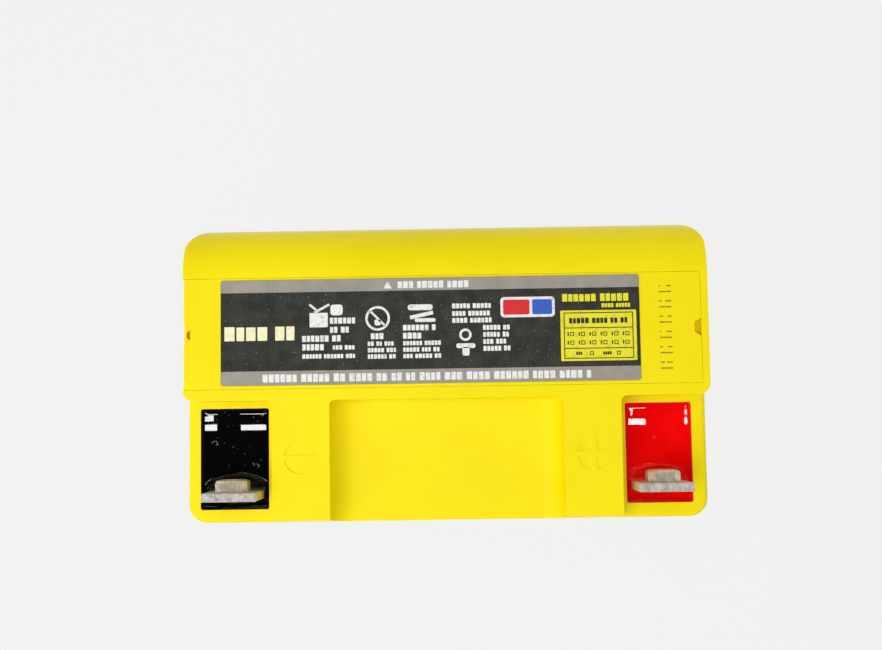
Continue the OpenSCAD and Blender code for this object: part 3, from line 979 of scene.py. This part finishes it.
def resin_height(x, y, wall, outer_rise, tab_y, seed, bubbles):
    """Skin of the poured resin over its nominal level; a thin coat of it clings to the wall."""
    wall_rise, wall_reach = 0.1, 0.22
    oval_x, oval_half_x, oval_half_y = 40.15, 5.6, 2.75
    oval_rise, oval_share = 0.36, 0.05
    tab_rise = tab_reach = 0.45
    wave_h, waves_per_mm = 0.0006, 0.3

    height = wall_rise * math.exp(-max(wall, 0) / wall_reach) + outer_rise
    if wall < COAT_T:
        height += COAT_CLIMB
    rx = (x - oval_x) / oval_half_x
    ry = (y - tab_y - TAB_T) / oval_half_y
    oval = math.hypot(rx, ry)
    height += oval_rise * math.exp(-((oval - 1.0) / oval_share) ** 2)
    gap_x = max(TAB_X0 - x, x - TAB_X1, 0)
    gap_y = max(tab_y - y, y - tab_y - TAB_T, 0)
    height += tab_rise * math.exp(-math.hypot(gap_x, gap_y) / tab_reach)
    wave = Vector((x * waves_per_mm, y * waves_per_mm, seed * 3.1))
    height += wave_h * noise.noise(wave)
    for bx, by, radius in bubbles:
        away = math.hypot(x - bx, y - by) / radius
        if away < 1:
            height += 0.35 * radius * (1 - away * away)
    return height


def coated_steps(start, stop, count):
    """Even steps, but for the first and last, which are as wide as the coat on the wall."""
    steps = [start + (stop - start) * k / count for k in range(count + 1)]
    steps[1] = start + COAT_T
    steps[-2] = stop - COAT_T
    return steps


def close_below(bm, grid, floor_z):
    """Makes a closed body of a grid of vertices: its skin, four sides and a flat floor."""
    last_i = len(grid) - 1
    last_j = len(grid[0]) - 1
    for i in range(last_i):
        for j in range(last_j):
            bm.faces.new((grid[i][j], grid[i + 1][j], grid[i + 1][j + 1], grid[i][j + 1]))
    rim = [grid[i][0] for i in range(last_i)]
    rim += [grid[last_i][j] for j in range(last_j)]
    rim += [grid[i][last_j] for i in range(last_i, 0, -1)]
    rim += [grid[0][j] for j in range(last_j, 0, -1)]
    foot = [bm.verts.new((v.co.x, v.co.y, floor_z * MM)) for v in rim]
    for k in range(len(rim)):
        j = (k + 1) % len(rim)
        bm.faces.new((rim[k], foot[k], foot[j], rim[j]))
    bm.faces.new(foot)
    bmesh.ops.recalc_face_normals(bm, faces=bm.faces)


def build_resin(end, name, material, seed):
    rng = random.Random(seed)
    bubbles = [
        (rng.uniform(WELL_X0 + 1, WELL_X1 - 1), rng.uniform(-18, -12), rng.uniform(0.2, 0.3))
        for _ in range(3)
    ]
    x0 = WELL_X0
    x1 = WELL_X1 + WELL_GROWTH[end]
    y0 = WELL_Y0 - WELL_GROWTH[end] / 2
    y1 = WELL_Y1
    tab_y = TAB_Y0 + TAB_SHIFT[end]
    bm = bmesh.new()
    grid = []
    for x in coated_steps(x0, x1, 68):
        column = []
        for y in coated_steps(y0, y1, 94):
            wall = min(x - x0, x1 - x, y - y0, y1 - y)
            rise = OUTER_RISE[end] * math.exp((x - x1) / 0.9)
            z = POTTING_Z + resin_height(x, y, wall, rise, tab_y, seed, bubbles)
            column.append(bm.verts.new((end * x * MM, y * MM, z * MM)))
        grid.append(column)
    close_below(bm, grid, WELL_FLOOR_Z)
    skin = new_object(bm)
    return dressed(
        skin, name + "_resin", material, "case", [name + "_potting"], sharp=60, weighted=False
    )


# ---- valve caps


def build_cap(number):
    """Moulded rubber cup, turned about its own axis."""
    node = "valve_cap_%d" % number
    (x0, x1), (y0, y1), (z0, z1) = span(node)
    cx, cy = (x0 + x1) / 2, (y0 + y1) / 2
    outer = (x1 - x0) / 2
    ridge = 3.6
    bore = 3.25
    roof = CHAMBER_Z + SPIGOT_H + 0.05
    shoulder = z1 - 0.4
    profile = [
        (0, z1), (ridge - 0.15, z1), (ridge, z1 - 0.12), (ridge + 0.05, shoulder + 0.04),
        (outer - 0.45, shoulder), (outer - 0.12, shoulder - 0.12), (outer, shoulder - 0.4),
        (outer, z0 + 0.3), (outer - 0.15, z0 + 0.05), (outer - 0.35, z0), (bore + 0.15, z0),
        (bore, z0 + 0.15), (bore, roof), (0, roof),
    ]
    bm = bmesh.new()
    steps = 48
    rings = []
    for radius, z in profile:
        if radius == 0:
            rings.append([bm.verts.new((cx * MM, cy * MM, z * MM))])
            continue
        ring_points = circle(cx, cy, 2 * radius, steps)
        rings.append([bm.verts.new((x * MM, y * MM, z * MM)) for x, y in ring_points])
    for upper, lower in zip(rings, rings[1:]):
        for k in range(steps):
            j = (k + 1) % steps
            if len(upper) == 1:
                bm.faces.new((upper[0], lower[k], lower[j]))
            elif len(lower) == 1:
                bm.faces.new((upper[k], lower[0], upper[j]))
            else:
                bm.faces.new((upper[k], lower[k], lower[j], upper[j]))
    bmesh.ops.recalc_face_normals(bm, faces=bm.faces)
    cap = new_object(bm)
    return dressed(
        cap, "cap_rubber_%d" % number, RUBBER, "cap_%d" % number, [node], sharp=50
    )


# ---- parts that keep their CAD meshes


def paint_cad_nodes():
    finishes = {
        "positive_plates": PASTE,
        "negative_plates": SPONGE,
        "separators": MAT,
        "gel": GEL,
        "intercell_weld": LEAD,
        "negative_post_seal": RUBBER,
        "positive_post_seal": RUBBER,
        "negative_post": LEAD,
        "positive_post": LEAD,
    }
    for name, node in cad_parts.items():
        for start, material in finishes.items():
            if name.startswith(start) and not node.hide_render:
                node.data.materials.clear()
                node.data.materials.append(material)
                break


# ---- studio


def aim(obj, target):
    obj.rotation_euler = (Vector(target) - obj.location).to_track_quat("-Z", "Y").to_euler()


def area_light(name, place, target, size, watts, in_reflections=True):
    """A rectangular lamp; with no target it faces straight down."""
    data = bpy.data.lights.new(name, "AREA")
    data.shape = "RECTANGLE"
    data.size, data.size_y = size
    data.energy = watts
    light = bpy.data.objects.new(name, data)
    light.location = place
    if target is not None:
        aim(light, target)
    light.visible_glossy = in_reflections
    bpy.context.scene.collection.objects.link(light)
    return light


def build_floor():
    bm = bmesh.new()
    bmesh.ops.create_grid(bm, x_segments=2, y_segments=2, size=3.0)
    floor = new_object(bm, "floor")
    floor.location.z = -0.0005
    material = bpy.data.materials.new("pale_floor")
    material.use_nodes = True
    surface = material.node_tree.nodes["Principled BSDF"]
    surface.inputs["Base Color"].default_value = (0.05, 0.05, 0.05, 1)
    surface.inputs["Roughness"].default_value = 1.0
    surface.inputs["Specular IOR Level"].default_value = 0.0
    surface.inputs["Emission Color"].default_value = (1, 1, 1, 1)
    surface.inputs["Emission Strength"].default_value = 0.84
    floor.data.materials.append(material)


def build_world():
    """A dark ceiling straight above and light walls all round."""
    world = bpy.data.worlds.new("studio")
    bpy.context.scene.world = world
    world.use_nodes = True
    tree = world.node_tree
    sky = tree.nodes["Background"]
    place = tree.nodes.new("ShaderNodeTexCoord")
    split = tree.nodes.new("ShaderNodeSeparateXYZ")
    tree.links.new(place.outputs["Generated"], split.inputs["Vector"])
    ramp = tree.nodes.new("ShaderNodeValToRGB")
    ramp.color_ramp.interpolation = "EASE"
    low, high = ramp.color_ramp.elements
    low.position, low.color = 0.55, (1, 1, 1, 1)
    high.position, high.color = 0.93, (0.04, 0.04, 0.04, 1)
    tree.links.new(split.outputs["Z"], ramp.inputs["Fac"])
    tree.links.new(ramp.outputs["Color"], sky.inputs["Color"])
    sky.inputs["Strength"].default_value = 0.55


def build_camera():
    """Over the battery, tilted by 4.6 degrees and turned by less than 1 about the other axes."""
    camera_data = bpy.data.cameras.new("photo_camera")
    camera_data.sensor_width = 36
    camera_data.lens = 51.02
    camera_data.clip_start = 0.01
    camera = bpy.data.objects.new("photo_camera", camera_data)
    camera.location = (0.0017124, -0.0103053, 0.3375553)
    turn = Matrix.Rotation(0.0106, 3, "Y") @ Matrix.Rotation(0.0804, 3, "X")
    turn = turn @ Matrix.Rotation(-0.0150, 3, "Z")
    camera.rotation_euler = turn.to_euler()
    bpy.context.scene.collection.objects.link(camera)
    bpy.context.scene.camera = camera


def build_studio():
    build_floor()
    build_world()
    top = (0, 0, 0.105)
    area_light("key_left", (-0.15, -0.12, 0.36), top, (0.3, 0.3), 0.6, in_reflections=False)
    area_light("soft_top", (0.0, 0.0, 1.3), top, (1.5, 1.5), 6.6, in_reflections=False)
    area_light("tube_front", (-0.0355, -0.007, 3.5), None, (1.175, 0.017), 1.4)
    area_light("tube_back", (-0.023, 0.018, 3.5), None, (1.074, 0.014), 1.0)
    build_camera()
    bpy.context.scene.view_settings.view_transform = "Standard"


# ---- the whole battery

build_container()
build_lid()
build_cover()
build_label()
build_print()
build_batch_marks()
for sign, pole in ((-1, "negative"), (1, "positive")):
    build_terminal(sign, pole)
    build_nut(sign, pole)
    build_resin(sign, pole, BLACK_RESIN if sign < 0 else RED_RESIN, seed=5 + sign)
for cap_number in range(1, CELLS + 1):
    build_cap(cap_number)
paint_cad_nodes()
build_studio()
